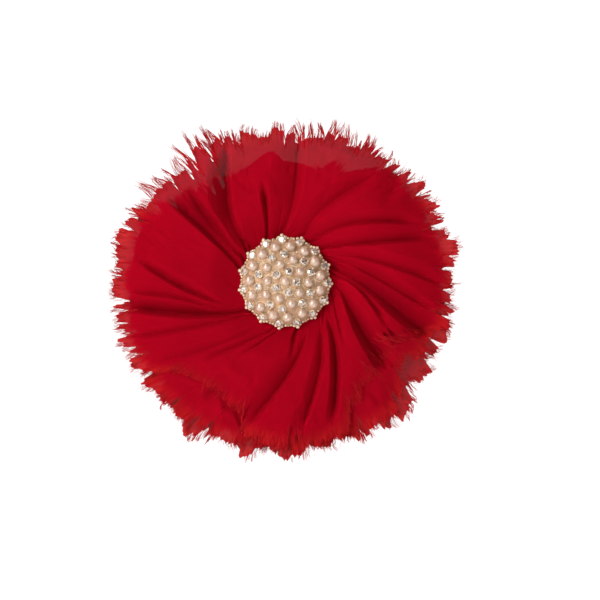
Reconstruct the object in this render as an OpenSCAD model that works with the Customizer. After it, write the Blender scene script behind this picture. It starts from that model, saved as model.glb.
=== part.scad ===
// Flower hair clip: three gathered cloth layers under a pearl and crystal button,
// on a felt disc with a sprung alligator clip behind it.
// The sub-parts are drawn lying on their back, with z towards the viewer, and face_front()
// stands them up so that the flower faces -Y. The origin is the middle of the clip's jaw gap.

/* [Cloth layers] */
// Outer radius of the back layer
back_layer_r = 50; // [44:0.5:56]
// How much smaller each layer in front is, on the radius
layer_step = 1.5; // [0:0.5:4]
// Thickness of one gathered layer
layer_t = 2.4; // [1.6:0.1:2.8]
// How far the rim of the front layer stands in front of its gathered middle
front_rise = 6; // [1:0.5:8]
// Radius of the hole that the gathering thread pulls closed
gather_r = 3.4; // [2.6:0.1:5]
// Thickness of the sewing thread
thread_d = 0.5; // [0.3:0.05:0.7]

/* [Button] */
// Radius of the cast base
button_r = 12.4; // [12.2:0.1:13]
// Height of the dome above the base's edge
dome_h = 4.8; // [4:0.1:5.5]
// Height of the base's plain edge
button_edge_h = 0.9; // [0.6:0.1:1.5]
// How far the button sits right of the flower's middle
button_right = 0.3; // [-2:0.1:2]
// How far the button sits above the flower's middle
button_up = 2.3; // [0:0.1:4]
// Radius of a pearl in the outer ring
outer_pearl_r = 1.55; // [1.3:0.05:1.6]
// Radius of the pearls inside that ring
inner_pearl_r = 1.35; // [1.2:0.05:1.6]
// Radius of a crystal at its girdle
crystal_r = 1; // [0.8:0.05:1]

/* [Backing] */
// Radius of the felt disc
felt_r = 23; // [20:0.5:28]
// Thickness of the felt disc
felt_t = 1.4; // [1:0.1:2]
// Thickness of the felt band that holds the clip
band_t = 0.8; // [0.6:0.05:1]

/* [Clip] */
// Length of the clip from nose to tail
clip_len = 46; // [44:0.5:50]
// Width of the fixed arm
arm_w = 8; // [8:0.1:9]
// Thickness of the sheet steel
sheet_t = 0.6; // [0.5:0.05:0.7]
// Clear height between the arms at the bow
jaw_gap = 5.4; // [5.2:0.1:6]
// Distance from the tail's end to the hinge
tail_len = 14; // [13:0.5:15]
// Radius of the hinge pin
pin_r = 0.75; // [0.6:0.05:0.8]
// Thickness of the spring wire
wire_d = 0.7; // [0.5:0.05:0.7]

/* [Hidden] */
$fn = 48;

// Heights of the stack, from the jaw gap outwards to the button
upper_z = jaw_gap / 2;
glue_t = 0.4;
felt_z = upper_z + sheet_t + glue_t;
layers_z = felt_z + felt_t;
button_glue_t = 0.8;
button_z = layers_z + 3 * layer_t + button_glue_t;

// A layer is pressed flat under the button and rises smoothly from there to its rim
layer_flat_r = 10;
layer_points = 10;

// The dome is part of a ball of radius dome_r, whose middle is at dome_centre_z
dome_r = (button_r * button_r + dome_h * dome_h) / (2 * dome_h);
dome_centre_z = button_z + button_edge_h + dome_h - dome_r;

// The rings on the dome: radius, number, and angle of the first one
pearls_inner_ring = [5, 5, 34];
pearls_second_ring = [6.45, 5, -2];
pearls_outer_ring = [9.9, 15, 10];
crystals_inner_ring = [3.1, 5, -2];
crystals_middle_ring = [7.6, 5, 34];
crystals_outer_ring = [11.7, 15, -2];
// The middle crystals stand in pairs, this far round from each of the ring's angles
pair_angles = [-13.6, 13.6];
// Beads cast round the edge of the base, standing a little outside it and below its rim
rim_bead_r = 0.55;
rim_bead_out = 0.1;
rim_bead_drop = 0.13;

// One crystal and its setting, along the direction that it stands in
pearl_lift_share = 0.47;
cup_wall = 0.13;
cup_play = 0.02;
cup_r = crystal_r + cup_play + cup_wall;
cup_h = 0.9;
cup_floor = 0.2;
girdle_h = 0.12;
crown_h = 0.35;
table_r = 0.6 * crystal_r;
claw_r = 0.18;
claw_tip_r = 0.24;
claw_h = 1.18;

// Places along the clip
nose_x = -clip_len / 2;
tail_x = clip_len / 2;
hinge_x = tail_x - tail_len;
nose_w = 5;
nose_corner_r = 1.4;
taper_end_x = nose_x + 15;
lug_play = 0.15;
lower_w = arm_w - 2 * sheet_t - 2 * lug_play;
pin_play = 0.05;
rivet_play = 0.01;
rivet_head_r = 1.25;
rivet_head_t = 0.35;
upper_lug_r = 2.6;
lower_lug_r = 1.9;

// The moving arm: its inner face is low at the bow and comes up to the teeth at the nose
tooth_h = 1;
tooth_root_h = 0.4;
tooth_pitch = 1.4;
tooth_count = 7;
tooth_plate_t = 0.5;
closed_play = 0.1;
nose_land_x = nose_x + 3;
bow_start_x = nose_x + 16;
tail_start_x = hinge_x + 3;
tail_drop = 2.5;
nose_z = upper_z - closed_play - tooth_h;

// The felt band over the fixed arm
band_x = nose_x + 9;
band_len = 10;
band_half_w = 11;
band_play = 0.15;

// The spring: a coil round the pin with one leg along the inside of each tail
coil_r = 1.45;
coil_turns = 3.5;
coil_pitch = 0.76;
coil_steps = 49;
wire_sides = 8;
leg_play = 0.05;
leg_reach = 8;
leg_steps = 5;

// Stands the flower up, so that it faces -Y
module face_front() {
    rotate([90, 0, 0]) children();
}

// Puts its children on the dome, standing along the dome's own direction at that place
module on_dome(ring_r, angle) {
    translate([button_right, button_up, dome_centre_z])
        rotate([0, 0, angle])
            rotate([0, asin(ring_r / dome_r), 0])
                translate([0, 0, dome_r]) children();
}

// Puts its children at every place of one ring on the dome
module around_dome(ring, offset_angle = 0) {
    for (i = [0 : ring[1] - 1])
        on_dome(ring[0], ring[2] + offset_angle + i * 360 / ring[1]) children();
}

module dome_ball() {
    translate([button_right, button_up, dome_centre_z]) sphere(r = dome_r);
}

function smooth(t) = t * t * (3 - 2 * t);

// Height of a layer's back face at a distance from the flower's middle
function layer_back_z(level, r, outer_r) =
    layers_z + level * layer_t
    + level * front_rise / 2 * smooth(max(0, (r - layer_flat_r) / (outer_r - layer_flat_r)));

module petal_layer(level) {
    outer_r = back_layer_r - level * layer_step;
    steps = [for (i = [0 : layer_points - 1]) i / (layer_points - 1)];
    radii = concat([gather_r], [for (s = steps) layer_flat_r + s * (outer_r - layer_flat_r)]);
    last = len(radii) - 1;
    back = [for (r = radii) [r, layer_back_z(level, r, outer_r)]];
    front = [for (i = [0 : last]) back[last - i] + [0, layer_t]];
    color([0.66, 0.01, 0.09]) face_front() rotate_extrude() polygon(concat(back, front));
}

module gathering_thread(level) {
    ring_r = gather_r - thread_d / 2;
    ring_z = layers_z + (level + 0.5) * layer_t;
    color([0.5, 0.01, 0.07]) face_front() translate([0, 0, ring_z])
        rotate_extrude() translate([ring_r, 0]) circle(d = thread_d, $fn = 8);
}

module button_base() {
    bead_z = button_z + button_edge_h - rim_bead_drop;
    color([0.76, 0.59, 0.42]) face_front() union() {
        intersection() {
            dome_ball();
            translate([button_right, button_up, button_z])
                cylinder(r = button_r, h = button_edge_h + dome_h);
        }
        translate([button_right, button_up, 0])
            for (i = [0 : pearls_outer_ring[1] - 1])
                rotate([0, 0, pearls_outer_ring[2] + i * 360 / pearls_outer_ring[1]])
                    translate([button_r + rim_bead_out, 0, bead_z]) sphere(r = rim_bead_r);
    }
}

module button_glue() {
    color([0.9, 0.88, 0.8]) face_front()
        translate([button_right, button_up, button_z - button_glue_t])
            cylinder(r = button_r / 2, h = button_glue_t);
}

// Half-round pearls, ground to fit the dome
module pearls(ring, pearl_r) {
    color([0.86, 0.74, 0.67]) face_front() difference() {
        around_dome(ring) translate([0, 0, pearl_lift_share * pearl_r]) sphere(r = pearl_r);
        dome_ball();
    }
}

// A round cut crystal: a cone below its girdle, a flatter one above it and a flat table
module crystal() {
    girdle_z = cup_h - girdle_h;
    rotate_extrude() polygon([
        [0, cup_floor],
        [crystal_r, girdle_z],
        [crystal_r, girdle_z + girdle_h],
        [table_r, girdle_z + girdle_h + crown_h],
        [0, girdle_z + girdle_h + crown_h]
    ]);
}

// A cup that stands on the dome, with four claws that stand round the crystal
module claw_setting() {
    difference() {
        cylinder(r = cup_r, h = cup_h);
        translate([0, 0, cup_floor]) cylinder(r = crystal_r + cup_play, h = cup_h);
    }
    for (a = [45 : 90 : 315]) rotate([0, 0, a]) translate([cup_r, 0, 0]) {
        translate([0, 0, cup_floor]) cylinder(r = claw_r, h = claw_h - cup_floor);
        translate([0, 0, claw_h]) sphere(r = claw_tip_r);
    }
}

module crystals(ring, offset_angles = [0]) {
    color([0.9, 0.92, 0.95]) face_front()
        for (offset_angle = offset_angles) around_dome(ring, offset_angle) crystal();
}

module claw_settings(ring, offset_angles = [0]) {
    color([0.8, 0.66, 0.48]) face_front()
        for (offset_angle = offset_angles) around_dome(ring, offset_angle) claw_setting();
}

module felt_backing() {
    color([0.55, 0.01, 0.07]) face_front() translate([0, 0, felt_z]) cylinder(r = felt_r, h = felt_t);
}

// A strip of felt, glued down each side of the fixed arm and passing over it
module felt_clip_band() {
    inner_w = arm_w / 2 + band_play;
    outer_w = inner_w + band_t;
    half = [
        [inner_w, felt_z],
        [band_half_w, felt_z],
        [band_half_w, felt_z - band_t],
        [outer_w, felt_z - band_t],
        [outer_w - band_t / 2, upper_z - band_t]
    ];
    last = len(half) - 1;
    mirrored = [for (i = [0 : last]) [-half[last - i][0], half[last - i][1]]];
    channel = [[-inner_w, upper_z], [inner_w, upper_z]];
    color([0.55, 0.01, 0.07]) face_front() translate([band_x, 0, 0])
        rotate([90, 0, 90]) linear_extrude(height = band_len)
            polygon(concat(half, mirrored, channel));
}

module clip_glue() {
    glue_w = 0.7 * arm_w;
    color([0.9, 0.88, 0.8]) face_front()
        translate([taper_end_x - 4, -glue_w / 2, upper_z + sheet_t]) cube([24, glue_w, glue_t]);
}

// Plan of an arm: full width to the taper, then narrowing to a nose with round corners
module arm_plan(width) {
    nose_y = min(nose_w, width) / 2 - nose_corner_r;
    tail_y = width / 2 - nose_corner_r;
    hull() {
        for (side = [-1, 1]) {
            translate([nose_x + nose_corner_r, side * nose_y]) circle(r = nose_corner_r, $fn = 32);
            translate([taper_end_x, side * tail_y]) circle(r = nose_corner_r, $fn = 32);
            translate([tail_x - nose_corner_r, side * tail_y]) circle(r = nose_corner_r, $fn = 32);
        }
    }
}

// One ear round the hinge, reaching up or down to the arm that it is bent from
module lug(lug_r, foot_z, hole_r) {
    foot_half = lug_r + 0.9;
    rotate([90, 0, 0]) linear_extrude(height = sheet_t) difference() {
        union() {
            translate([hinge_x, 0]) circle(r = lug_r);
            polygon([
                [hinge_x - foot_half, foot_z],
                [hinge_x - lug_r, 0],
                [hinge_x + lug_r, 0],
                [hinge_x + foot_half, foot_z]
            ]);
        }
        translate([hinge_x, 0]) circle(r = hole_r);
    }
}

module clip_upper_arm() {
    color([0.78, 0.78, 0.8]) face_front() union() {
        translate([0, 0, upper_z]) linear_extrude(height = sheet_t) arm_plan(arm_w);
        for (y = [arm_w / 2, -arm_w / 2 + sheet_t])
            translate([0, y, 0]) lug(upper_lug_r, upper_z + sheet_t / 2, pin_r + rivet_play);
    }
}

// Height of the moving arm's inner face along the clip
function inner_z(x) =
    x < nose_land_x ? nose_z
    : x < bow_start_x
        ? nose_z - (nose_z + upper_z) * smooth((x - nose_land_x) / (bow_start_x - nose_land_x))
    : x < tail_start_x ? -upper_z
    : -upper_z - tail_drop * (x - tail_start_x) / (tail_x - tail_start_x);

module lower_arm_strip() {
    bend_steps = 12;
    bend = [for (i = [0 : bend_steps]) nose_land_x + i * (bow_start_x - nose_land_x) / bend_steps];
    places = concat([nose_x], bend, [tail_start_x, tail_x]);
    last = len(places) - 1;
    inner = [for (x = places) [x, inner_z(x)]];
    outer = [for (i = [0 : last]) inner[last - i] - [0, sheet_t]];
    translate([0, lower_w / 2, 0]) rotate([90, 0, 0])
        linear_extrude(height = lower_w) polygon(concat(inner, outer));
}

// A row of teeth that stands up from the moving arm's edge
module tooth_row() {
    first_x = nose_x + 1.6;
    roots = [for (i = [0 : tooth_count]) first_x + i * tooth_pitch];
    teeth = [
        for (i = [0 : 2 * tooth_count])
            let (x = first_x + i * tooth_pitch / 2)
                [x, inner_z(x) + (i % 2 == 0 ? tooth_root_h : tooth_h)]
    ];
    last = len(roots) - 1;
    foot = [for (i = [0 : last]) [roots[last - i], inner_z(roots[last - i]) - sheet_t / 2]];
    rotate([90, 0, 0]) linear_extrude(height = tooth_plate_t) polygon(concat(teeth, foot));
}

module clip_lower_arm() {
    tooth_y = nose_w / 2 - 0.1;
    color([0.72, 0.72, 0.74]) face_front() union() {
        intersection() {
            lower_arm_strip();
            translate([0, 0, -clip_len / 2]) linear_extrude(height = clip_len) arm_plan(lower_w);
        }
        for (y = [tooth_y, -tooth_y + tooth_plate_t]) translate([0, y, 0]) tooth_row();
        for (y = [lower_w / 2, -lower_w / 2 + sheet_t])
            translate([0, y, 0]) lug(lower_lug_r, -upper_z - sheet_t / 2, pin_r + pin_play);
    }
}

module hinge_pin() {
    half_len = arm_w / 2 + rivet_head_t;
    color([0.7, 0.7, 0.72]) face_front() translate([hinge_x, 0, 0]) rotate([90, 0, 0]) union() {
        cylinder(r = pin_r, h = 2 * half_len, center = true);
        for (side = [-1, 1])
            translate([0, 0, side * (half_len - rivet_head_t / 2)])
                cylinder(r = rivet_head_r, h = rivet_head_t, center = true);
    }
}

// Middle line of the spring wire: a leg in from the upper tail, the coil, a leg out to the lower
function upper_leg(s) = [
    hinge_x + leg_reach * s,
    -coil_turns * coil_pitch / 2,
    coil_r + (upper_z - wire_d / 2 - leg_play - coil_r) * smooth(min(1, 2 * s))
];
function coil_point(s) = [
    hinge_x + coil_r * cos(90 + 360 * coil_turns * s),
    coil_turns * coil_pitch * (s - 0.5),
    coil_r * sin(90 + 360 * coil_turns * s)
];
function lower_leg(s) =
    let (x = hinge_x + leg_reach * s, face_z = inner_z(x) + wire_d / 2 + 2 * leg_play)
        [x, coil_turns * coil_pitch / 2, -coil_r + (face_z + coil_r) * smooth(min(1, 2 * s))];

function unit(v) = v / norm(v);

module torsion_spring() {
    path = concat(
        [for (i = [leg_steps : -1 : 1]) upper_leg(i / leg_steps)],
        [for (i = [0 : coil_steps]) coil_point(i / coil_steps)],
        [for (i = [1 : leg_steps]) lower_leg(i / leg_steps)]
    );
    last = len(path) - 1;
    along = [for (i = [0 : last]) unit(path[min(last, i + 1)] - path[max(0, i - 1)])];
    side = [for (t = along) unit(cross(t, [0, 1, 0]))];
    rings = [
        for (i = [0 : last], k = [0 : wire_sides - 1])
            let (a = 360 * k / wire_sides)
                path[i] + wire_d / 2 * (cos(a) * side[i] + sin(a) * cross(side[i], along[i]))
    ];
    walls = [
        for (i = [0 : last - 1], k = [0 : wire_sides - 1])
            let (next = (k + 1) % wire_sides, near = i * wire_sides, far = near + wire_sides)
                [near + k, near + next, far + next, far + k]
    ];
    start_cap = [for (k = [wire_sides - 1 : -1 : 0]) k];
    end_cap = [for (k = [0 : wire_sides - 1]) last * wire_sides + k];
    color([0.6, 0.6, 0.62]) face_front()
        polyhedron(points = rings, faces = concat([start_cap], walls, [end_cap]));
}

petal_layer(2);  // petal_layer_front
petal_layer(1);  // petal_layer_middle
petal_layer(0);  // petal_layer_back
gathering_thread(2);  // gathering_thread_front
gathering_thread(1);  // gathering_thread_middle
gathering_thread(0);  // gathering_thread_back
button_base();
button_glue();
pearls([0, 1, 0], inner_pearl_r);  // pearl_centre
pearls(pearls_inner_ring, inner_pearl_r);  // pearls_inner
pearls(pearls_second_ring, inner_pearl_r);  // pearls_second
pearls(pearls_outer_ring, outer_pearl_r);  // pearls_outer
crystals(crystals_inner_ring);  // crystals_inner
crystals(crystals_middle_ring, pair_angles);  // crystals_middle
crystals(crystals_outer_ring);  // crystals_outer
claw_settings(crystals_inner_ring);  // claw_settings_inner
claw_settings(crystals_middle_ring, pair_angles);  // claw_settings_middle
claw_settings(crystals_outer_ring);  // claw_settings_outer
felt_backing();
felt_clip_band();
clip_glue();
clip_upper_arm();
clip_lower_arm();
hinge_pin();
torsion_spring();
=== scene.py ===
"""Looks of the flower hair clip: swirled and frayed chiffon, a pearl and crystal button, felt and a clip.

Shapes are worked out in the flower's own axes, in millimetres: right, up, and out towards the viewer.
stand_up() turns them into the frame's metres, where the flower faces -Y.
"""
import math
from contextlib import contextmanager
import bmesh
import bpy
import numpy as np
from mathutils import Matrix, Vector


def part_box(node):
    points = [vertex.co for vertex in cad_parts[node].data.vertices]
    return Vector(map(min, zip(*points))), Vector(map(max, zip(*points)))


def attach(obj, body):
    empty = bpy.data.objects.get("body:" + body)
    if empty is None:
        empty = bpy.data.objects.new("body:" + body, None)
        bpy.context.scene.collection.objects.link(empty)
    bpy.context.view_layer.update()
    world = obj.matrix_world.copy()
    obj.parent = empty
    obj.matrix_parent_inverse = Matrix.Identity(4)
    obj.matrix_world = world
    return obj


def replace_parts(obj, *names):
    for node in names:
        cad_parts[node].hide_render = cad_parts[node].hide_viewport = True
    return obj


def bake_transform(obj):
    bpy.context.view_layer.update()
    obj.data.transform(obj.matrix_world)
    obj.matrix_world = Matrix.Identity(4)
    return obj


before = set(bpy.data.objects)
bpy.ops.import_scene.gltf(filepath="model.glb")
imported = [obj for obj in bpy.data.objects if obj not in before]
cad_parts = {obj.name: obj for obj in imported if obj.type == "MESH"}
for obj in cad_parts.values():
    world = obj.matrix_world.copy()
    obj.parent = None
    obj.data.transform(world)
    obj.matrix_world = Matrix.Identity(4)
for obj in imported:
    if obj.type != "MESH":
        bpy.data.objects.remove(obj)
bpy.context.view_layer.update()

MM = 0.001
SEED = 20


# ---------------------------------------------------------------- places and small helpers

def triples(a, b, c):
    """One array of places from their three coordinates, any of which may be the same for all."""
    return np.stack(np.broadcast_arrays(a, b, c), axis=-1)


def stand_up(points):
    """(right, up, out) in millimetres to the frame's metres."""
    points = np.asarray(points, float)
    return triples(points[..., 0], -points[..., 2], points[..., 1]) * MM


def node_box(node):
    """The lowest and highest (right, up, out) of a CAD node, in millimetres."""
    low, high = (np.array(corner, float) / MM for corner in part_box(node))
    return np.array([low[0], low[2], -high[1]]), np.array([high[0], high[2], -low[1]])


def node_middle(node):
    """The middle of a CAD node, and half its size, in millimetres."""
    low, high = node_box(node)
    return (low + high) / 2, (high - low) / 2


def smooth(t):
    t = np.clip(t, 0, 1)
    return t * t * (3 - 2 * t)


def rise(value, start, end):
    """0 up to the start and 1 from the end on, going smoothly between them."""
    return smooth((value - start) / (end - start))


def wrap(angle):
    """An angle in degrees, brought to -180..180."""
    return (np.asarray(angle, float) + 180) % 360 - 180


def unit(vectors):
    return vectors / np.maximum(np.linalg.norm(vectors, axis=-1, keepdims=True), 1e-12)


def link(name, data):
    thing = bpy.data.objects.new(name, data)
    bpy.context.scene.collection.objects.link(thing)
    return thing


def make_mesh(name, points, faces, material, body="flower", smooth_faces=True):
    """A mesh piece, from points in millimetres, that rides on a body unless there is none."""
    mesh = bpy.data.meshes.new(name)
    mesh.from_pydata(stand_up(points).reshape(-1, 3).tolist(), [], faces)
    mesh.polygons.foreach_set("use_smooth", [smooth_faces] * len(mesh.polygons))
    piece = link(name, mesh)
    mesh.materials.append(material)
    if body:
        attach(piece, body)
    return piece


def add_attribute(piece, name, values):
    attribute = piece.data.attributes.new(name, "FLOAT", "POINT")
    attribute.data.foreach_set("value", np.asarray(values, np.float32).ravel())


def around(centre, radius, turn, out):
    """Places round a centre, at a radius and a turn in radians, and this far out."""
    return triples(centre[0] + radius * np.cos(turn), centre[1] + radius * np.sin(turn), out)


# The button's middle is that of its centre pearl
BUTTON_X, BUTTON_Y = node_middle("pearl_centre")[0][:2]
button_low, button_high = node_box("button_base")


def on_face(angle, radius, out):
    """Places on the flower, from an angle in degrees and a distance from the button's middle."""
    return around((BUTTON_X, BUTTON_Y), radius, np.radians(angle), out)


@contextmanager
def editing(piece):
    """A piece's mesh in Blender's editing form, which is written back at the end."""
    mesh = bmesh.new()
    mesh.from_mesh(piece.data)
    yield mesh
    mesh.to_mesh(piece.data)
    mesh.free()


# ---------------------------------------------------------------- materials

class Nodes:
    """Short ways to add nodes to a tree and to join them."""

    def __init__(self, tree):
        self.tree = tree

    def add(self, kind, sockets=None, **settings):
        node = self.tree.nodes.new(kind)
        for key, value in settings.items():
            setattr(node, key, value)
        for key, value in (sockets or {}).items():
            self.feed(node.inputs[key], value)
        return node

    def feed(self, socket, value):
        """Joins a socket to another one or gives it a value. A colour may come without its alpha."""
        if isinstance(value, bpy.types.NodeSocket):
            self.tree.links.new(value, socket)
        elif socket.type == "RGBA" and len(value) == 3:
            socket.default_value = (*value, 1)
        else:
            socket.default_value = value


class Shader(Nodes):
    """A Principled material, with short ways to make its patterns and to feed its main sockets."""

    def __init__(self, name, **sockets):
        self.material = bpy.data.materials.new(name)
        self.material.use_nodes = True
        super().__init__(self.material.node_tree)
        self.bsdf = self.tree.nodes["Principled BSDF"]
        for socket, value in sockets.items():
            self.feed(self.bsdf.inputs[socket.replace("_", " ")], value)

    def place(self):
        return self.add("ShaderNodeTexCoord").outputs["Object"]

    def attribute(self, name):
        return self.add("ShaderNodeAttribute", attribute_name=name).outputs["Fac"]

    def noise(self, scale, vector=None, detail=2.0, roughness=0.5):
        vector = vector or self.place()
        sockets = {"Vector": vector, "Scale": scale, "Detail": detail, "Roughness": roughness}
        return self.add("ShaderNodeTexNoise", sockets).outputs["Fac"]

    def stretch(self, vector, scale):
        return self.add("ShaderNodeMapping", {"Vector": vector, "Scale": scale}).outputs["Vector"]

    def weave(self, vector, scale):
        """Crossed threads: two sets of fine, slightly wavering lines."""
        sockets = {"Vector": vector, "Scale": scale, "Distortion": 1.2, "Detail": 1.0}
        return self.times(*[self.add("ShaderNodeTexWave", sockets, bands_direction=way).outputs["Fac"]
                            for way in "XY"])

    def math(self, operation, a, b=0.0):
        return self.add("ShaderNodeMath", {0: a, 1: b}, operation=operation).outputs[0]

    def times(self, a, b):
        return self.math("MULTIPLY", a, b)

    def ramp(self, value, *stops):
        """Colours along a value: each stop is (position, colour)."""
        node = self.add("ShaderNodeValToRGB", {0: value})
        elements = node.color_ramp.elements
        while len(elements) < len(stops):
            elements.new(0.5)
        for element, (position, colour) in zip(elements, stops):
            element.position = position
            element.color = (*colour, 1)
        return node.outputs["Color"]

    def grade(self, value, start, low, end, high):
        """Greys that go from low to high as the value goes from start to end."""
        return self.ramp(value, (start, (low,) * 3), (end, (high,) * 3))

    def mix(self, share, a, b, **settings):
        sockets = {"Factor": share, "A": a, "B": b}
        return self.add("ShaderNodeMix", sockets, data_type="RGBA", **settings).outputs["Result"]

    def bump(self, height, strength, distance):
        node = self.add("ShaderNodeBump", {"Height": height, "Strength": strength, "Distance": distance})
        self.feed(self.bsdf.inputs["Normal"], node.outputs["Normal"])

    def colour(self, value):
        self.feed(self.bsdf.inputs["Base Color"], value)

    def roughness(self, value):
        self.feed(self.bsdf.inputs["Roughness"], value)


def shaded(colour, share):
    """A colour made darker or lighter, but no lighter than white."""
    return tuple(min(1, share * c) for c in colour)


def chiffon_material():
    """Sheer crepe: fine crossed threads, with shade painted darker into the folds and a glow painted lighter
    and oranger at the frayed rim.
    """
    s = Shader("chiffon", Alpha=0.985, Roughness=0.85, Sheen_Weight=0.02, Sheen_Roughness=0.5,
               Sheen_Tint=(1, 0.08, 0.1), Specular_IOR_Level=0.02)
    strip = s.add("ShaderNodeUVMap", uv_map="strip").outputs["UV"]
    weave = s.weave(strip, 700.0)
    cloth = s.mix(s.noise(45), (0.34, 0.0001, 0.0082), (0.39, 0.0003, 0.0105))
    cloth = s.mix(s.times(weave, 0.2), cloth, (0.52, 0.004, 0.018))
    # Painted shade: the deeper the cloth lies in a fold, the more it is darkened towards a deep red
    cloth = s.mix(s.times(s.attribute("fold"), 0.5), cloth, (0.17, 0.0001, 0.006))
    threads = s.grade(s.noise(1800, vector=s.stretch(strip, (1, 0.06, 1))), 0.35, 0.45, 0.65, 1.0)
    # Painted glow: towards the frayed rim the colour runs lighter and oranger, standing in for light that
    # comes through the thin threads; the same thread streaks also feed the bump below
    frayed = s.times(s.attribute("fray_and_glow"), threads)
    s.colour(s.mix(frayed, cloth, (0.56, 0.014, 0.013)))
    slubs = s.noise(260, detail=3.0)
    relief = s.math("ADD", s.times(weave, 0.6), slubs)
    s.bump(s.math("ADD", relief, frayed), 0.3, 0.0002)
    return s.material


def thread_material(name, near, far, dark):
    """Spun thread, mottled along its length, whose colour may run from near to far towards its free end; on
    the fringe that is a painted glow.
    """
    s = Shader(name, Roughness=0.75, Sheen_Weight=0.08, Sheen_Roughness=0.5, Sheen_Tint=(1, 0.3, 0.25),
               Specular_IOR_Level=0.06)
    # From near to far along the thread; the fringe's far colour is lighter and oranger, painted light that
    # comes through its thin free ends
    s.colour(s.mix(s.times(s.noise(600), 0.5), s.mix(s.attribute("fray_and_glow"), near, far), dark))
    s.bump(s.noise(9000), 0.3, 0.00003)
    return s.material


def cast_gold_material(name, colour, metallic, roughness, grain):
    """Pale gold plate on a sand-cast base: satin, a little uneven, and duller in places."""
    s = Shader(name, Metallic=metallic, Specular_IOR_Level=0.3)
    shades = ((0.3, 0.82), (0.55, 1.0), (0.75, 1.14))
    s.colour(s.ramp(s.noise(420, detail=3.0), *[(place, shaded(colour, share)) for place, share in shades]))
    s.roughness(s.grade(s.noise(900), 0.3, roughness, 0.7, roughness + 0.2))
    s.bump(s.noise(1900, detail=4.0, roughness=0.65), grain, 0.00012)
    return s.material


def pearl_material():
    """Blush pearl: a lacquered, milky body under a clear coat, with faint cloudy bands."""
    s = Shader("pearl", Roughness=0.3, Metallic=0.12, Coat_Weight=1.0, Coat_Roughness=0.11, Coat_IOR=2.1,
               Specular_IOR_Level=0.4)
    s.colour(s.ramp(s.noise(330, detail=3.0), (0.3, (0.62, 0.41, 0.29)), (0.52, (0.70, 0.47, 0.34)),
                    (0.72, (0.76, 0.53, 0.40))))
    s.bump(s.noise(1500), 0.06, 0.0001)
    return s.material


def crystal_material():
    """A foil-backed stone whose facets are painted bright and dark as painted reflections, some with a
    painted warm or cool glint.
    """
    s = Shader("crystal", Metallic=0.5, Coat_Weight=1.0, Coat_Roughness=0.02, Specular_IOR_Level=0.8)
    # Each facet is painted at random from dark to bright and given a cool or warm tint: painted reflections
    # and painted glints
    facet = s.attribute("facet")
    shade = s.ramp(facet, (0.0, (0.14, 0.08, 0.06)), (0.2, (0.42, 0.29, 0.23)), (0.5, (0.72, 0.57, 0.48)),
                   (0.85, (1.0, 0.9, 0.82)))
    glint = s.ramp(s.math("FRACT", s.times(facet, 7.3)), (0.0, (0.75, 0.82, 1.0)), (0.25, (1, 1, 1)),
                   (0.75, (1, 1, 1)), (1.0, (1.0, 0.84, 0.62)))
    s.colour(s.mix(1.0, shade, glint, blend_type="MULTIPLY"))
    s.roughness(s.grade(s.noise(700), 0.3, 0.03, 0.8, 0.09))
    return s.material


def felt_material():
    """Pressed wool felt: matted fibres with no weave."""
    s = Shader("felt", Roughness=0.95, Sheen_Weight=0.3, Sheen_Roughness=0.6, Sheen_Tint=(1, 0.35, 0.35),
               Specular_IOR_Level=0.08)
    fibres = s.noise(1100, detail=5.0, roughness=0.7)
    tone = s.ramp(fibres, (0.36, (0.15, 0.0006, 0.005)), (0.5, (0.3, 0.003, 0.01)),
                  (0.64, (0.46, 0.012, 0.022)))
    s.colour(s.mix(s.times(s.noise(120), 0.5), tone, (0.25, 0.002, 0.008)))
    s.bump(fibres, 0.8, 0.0004)
    return s.material


def glue_material():
    """Set hot glue: milky and half clear, with a waxy gloss."""
    s = Shader("glue", Transmission_Weight=0.35, Subsurface_Weight=0.4, Subsurface_Scale=0.001,
               Coat_Weight=0.3, Coat_Roughness=0.2, IOR=1.48)
    s.colour(s.ramp(s.noise(300, detail=3.0), (0.3, (0.72, 0.68, 0.56)), (0.7, (0.86, 0.83, 0.74))))
    s.roughness(s.grade(s.noise(700), 0.3, 0.25, 0.7, 0.45))
    s.bump(s.noise(500), 0.3, 0.0002)
    return s.material


def steel_material(name, colour, roughness, grain_scale, strength):
    """Plated sheet or wire: fine drawn lines along the strip, smudges, and darker worn spots."""
    s = Shader(name, Metallic=1.0)
    drawn = s.noise(grain_scale, vector=s.stretch(s.place(), (60, 900, 900)), detail=3.0)
    smudge = s.noise(140, detail=4.0, roughness=0.6)
    s.colour(s.ramp(smudge, (0.3, shaded(colour, 0.9)), (0.5, colour), (0.8, shaded(colour, 1.1))))
    s.roughness(s.grade(s.mix(0.5, drawn, smudge), 0.3, roughness, 0.75, roughness + 0.22))
    s.bump(drawn, strength, 0.00006)
    return s.material


chiffon_look = chiffon_material()
thread_red = (0.33, 0.002, 0.012)
# The frayed threads are painted lighter than the cloth, making up for the shade they cast on each other, and
# lighter and oranger still at their free ends as painted light coming through them
fringe_look = thread_material("frayed_thread", (0.54, 0.004, 0.013), (0.74, 0.02, 0.018),
                              (0.42, 0.003, 0.012))
thread_look = thread_material("sewing_thread", thread_red, thread_red, (0.2, 0.001, 0.006))
gold_look = cast_gold_material("gold_casting", (0.64, 0.405, 0.245), 0.15, 0.6, 0.5)
# The claws and beads are painted much paler than the base: partly their polished finish, partly a painted
# highlight as they catch the light
claw_look = cast_gold_material("gold_claws", (0.94, 0.78, 0.56), 0.3, 0.25, 0.15)
pearl_look = pearl_material()
crystal_look = crystal_material()
felt_look = felt_material()
glue_look = glue_material()
clip_look = steel_material("nickel_plate", (0.5, 0.485, 0.46), 0.2, 1.0, 0.12)
spring_look = steel_material("spring_steel", (0.46, 0.46, 0.48), 0.24, 1.6, 0.2)


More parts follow.
